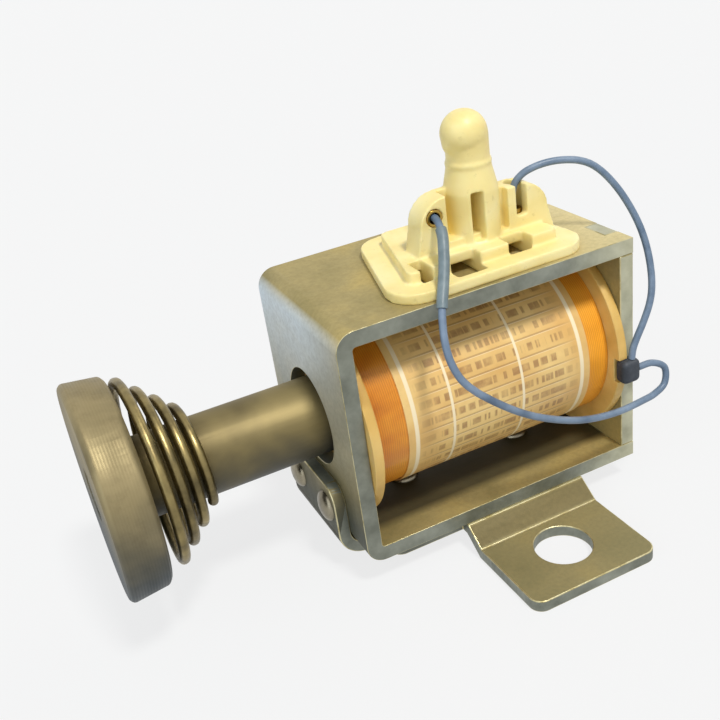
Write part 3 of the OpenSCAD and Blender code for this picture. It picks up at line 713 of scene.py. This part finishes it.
sleeveShape = {"diameter": 1.65 * mm, "from": 0.06, "to": 0.215}  # ends as shares of the lead's length
leadShape = {"diameter": 1.1 * mm, "leftLength": 0.0802, "rightLength": 0.0519,
             "roundness": 5, "smoothness": 8}


def addSleeve(lead):
    # a short sleeve over the lead where it hangs from its terminal
    curve = lead.data.copy()
    curve.bevel_depth = sleeveShape["diameter"] / 2
    curve.bevel_factor_start = sleeveShape["from"]
    curve.bevel_factor_end = sleeveShape["to"]
    curve.bevel_factor_mapping_start = curve.bevel_factor_mapping_end = "SPLINE"
    curve.materials.clear()
    curve.materials.append(sleeveCover)
    piece = bpy.data.objects.new("lead_sleeve", curve)
    bpy.context.scene.collection.objects.link(piece)
    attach(piece, "housing")
    return piece


easing = {"dense": 20, "step": 0.5 * mm, "passes": 10, "points": 30}


def throughPoints(points, steps):
    # a smooth line through the points, in short steps
    line = []
    for i in range(len(points) - 1):
        a, b, c, d = points[max(i - 1, 0)], points[i], points[i + 1], points[min(i + 2, len(points) - 1)]
        for step in range(steps):
            t = step / steps
            line.append(0.5 * (2 * b + (c - a) * t + (2 * a - 5 * b + 4 * c - d) * t ** 2
                               + (3 * b - a - 3 * c + d) * t ** 3))
    return line + [points[-1]]


def evenly(line, count):
    # the same line with its points at equal distances
    travelled = [0.0]
    for a, b in zip(line, line[1:]):
        travelled.append(travelled[-1] + (b - a).length)
    spots, at = [], 0
    for i in range(count):
        goal = travelled[-1] * i / (count - 1)
        while at < len(line) - 2 and travelled[at + 1] < goal:
            at += 1
        part = (goal - travelled[at]) / max(travelled[at + 1] - travelled[at], 1e-9)
        spots.append(line[at].lerp(line[at + 1], min(max(part, 0.0), 1.0)))
    return spots


def easedRoute(route):
    # the lead's route with its kinks eased, at equal distances
    line = throughPoints([Vector(p) * mm for p in route], easing["dense"])
    whole = sum((b - a).length for a, b in zip(line, line[1:]))
    line = evenly(line, round(whole / easing["step"]) + 1)
    for _ in range(easing["passes"]):
        line = [line[0]] + [(a + 2 * b + c) / 4 for a, b, c in zip(line, line[1:], line[2:])] + [line[-1]]
    return evenly(line, easing["points"])


def buildLead(name, node, route, thick, sleeved=False):
    points = easedRoute(route)
    curve = bpy.data.curves.new(name, "CURVE")
    curve.dimensions = "3D"
    curve.bevel_depth = thick / 2
    curve.bevel_resolution = leadShape["roundness"]
    curve.resolution_u = leadShape["smoothness"]
    curve.use_fill_caps = True
    spline = curve.splines.new("BEZIER")
    spline.bezier_points.add(len(points) - 1)
    for i, (bend, point) in enumerate(zip(spline.bezier_points, points)):
        before, after = points[max(i - 1, 0)], points[min(i + 1, len(points) - 1)]
        bend.co = point
        bend.handle_left_type = bend.handle_right_type = "FREE"
        slope = (after - before) / (2 if 0 < i < len(points) - 1 else 1)
        bend.handle_left = point - slope / 3
        bend.handle_right = point + slope / 3
    curve.materials.append(leadCover)
    piece = bpy.data.objects.new(name, curve)
    bpy.context.scene.collection.objects.link(piece)
    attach(piece, "housing")
    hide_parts(node)
    cover = [addSleeve(piece)] if sleeved else []


buildLead("left_lead", "lead_wire_left", leftRoute, leadShape["diameter"], True)
buildLead("right_lead", "lead_wire_right", rightRoute, leadShape["diameter"])
print("leads run")


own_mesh(spring)


room = {"floorSize": 6.0, "floorDrop": 0.02 * mm, "paper": "f7f7f7", "glow": "fcfcfc", "floorTone": "c8cacd",
        "paperShare": 0.8, "world": 0.34, "skyTint": (0.93, 0.97, 1.0, 1.0)}


def paperRays(tree):
    # camera, mirror and see-through rays get the pale paper, all others the plain light
    paths = addNode(tree, "ShaderNodeLightPath").outputs
    return sums(tree, "MAXIMUM", sums(tree, "MAXIMUM", paths["Is Camera Ray"], paths["Is Glossy Ray"]),
                paths["Is Transmission Ray"])


def buildRoom():
    # a wide sheet of pale paper under an even sky; the paper glows in part, so faint shadows stay on it
    mesh = bpy.data.meshes.new("floor")
    half = room["floorSize"] / 2
    corners = [(-half, -half, 0), (half, -half, 0), (half, half, 0), (-half, half, 0)]
    mesh.from_pydata(corners, [], [(0, 1, 2, 3)])
    floor = bpy.data.objects.new("floor", mesh)
    floor.location.z = cadLow.z - room["floorDrop"]
    bpy.context.scene.collection.objects.link(floor)
    material, tree, shader = newMaterial("palePaper", Roughness=0.9)
    shader.inputs["Base Color"].default_value = paint(room["floorTone"])
    glow = addNode(tree, "ShaderNodeEmission", {"Color": paint(room["glow"]), "Strength": 1.0})
    share = times(tree, paperRays(tree), room["paperShare"])
    both = addNode(tree, "ShaderNodeMixShader", {0: share, 1: shader.outputs[0], 2: glow.outputs[0]})
    tree.links.new(both.outputs[0], tree.nodes["Material Output"].inputs["Surface"])
    mesh.materials.append(material)
    world = bpy.data.worlds.new("studio")
    world.use_nodes = True
    bpy.context.scene.world = world
    tree = world.node_tree
    tree.nodes.clear()
    lit = addNode(tree, "ShaderNodeBackground", {"Color": room["skyTint"], "Strength": room["world"]})
    pale = addNode(tree, "ShaderNodeBackground", {"Color": paint(room["paper"]), "Strength": 1.0})
    both = addNode(tree, "ShaderNodeMixShader", {0: paperRays(tree), 1: lit.outputs[0], 2: pale.outputs[0]})
    addNode(tree, "ShaderNodeOutputWorld", {"Surface": both.outputs[0]})


lamps = {"keyLight": {"strength": 2.4, "angle": 10, "aim": (-0.12, 0.5, -1.0), "colour": (1.0, 0.97, 0.91)},
         "fillLight": {"strength": 1.0, "angle": 60, "aim": (0.9, 0.45, -0.5), "colour": (0.82, 0.92, 1.0)},
         "backLight": {"strength": 0.3, "angle": 30, "aim": (-0.85, -0.3, -0.5), "colour": (1.0, 0.93, 0.78)}}


def addSun(name, lamp):
    data = bpy.data.lights.new(name, "SUN")
    data.energy = lamp["strength"]
    data.angle = math.radians(lamp["angle"])
    data.color = lamp["colour"]
    sun = bpy.data.objects.new(name, data)
    sun.rotation_mode = "QUATERNION"
    sun.rotation_quaternion = Vector(lamp["aim"]).to_track_quat("-Z", "Y")
    bpy.context.scene.collection.objects.link(sun)


buildRoom()
for name, lamp in lamps.items():
    addSun(name, lamp)
bpy.context.scene.view_settings.view_transform = "Standard"
print("room lit")
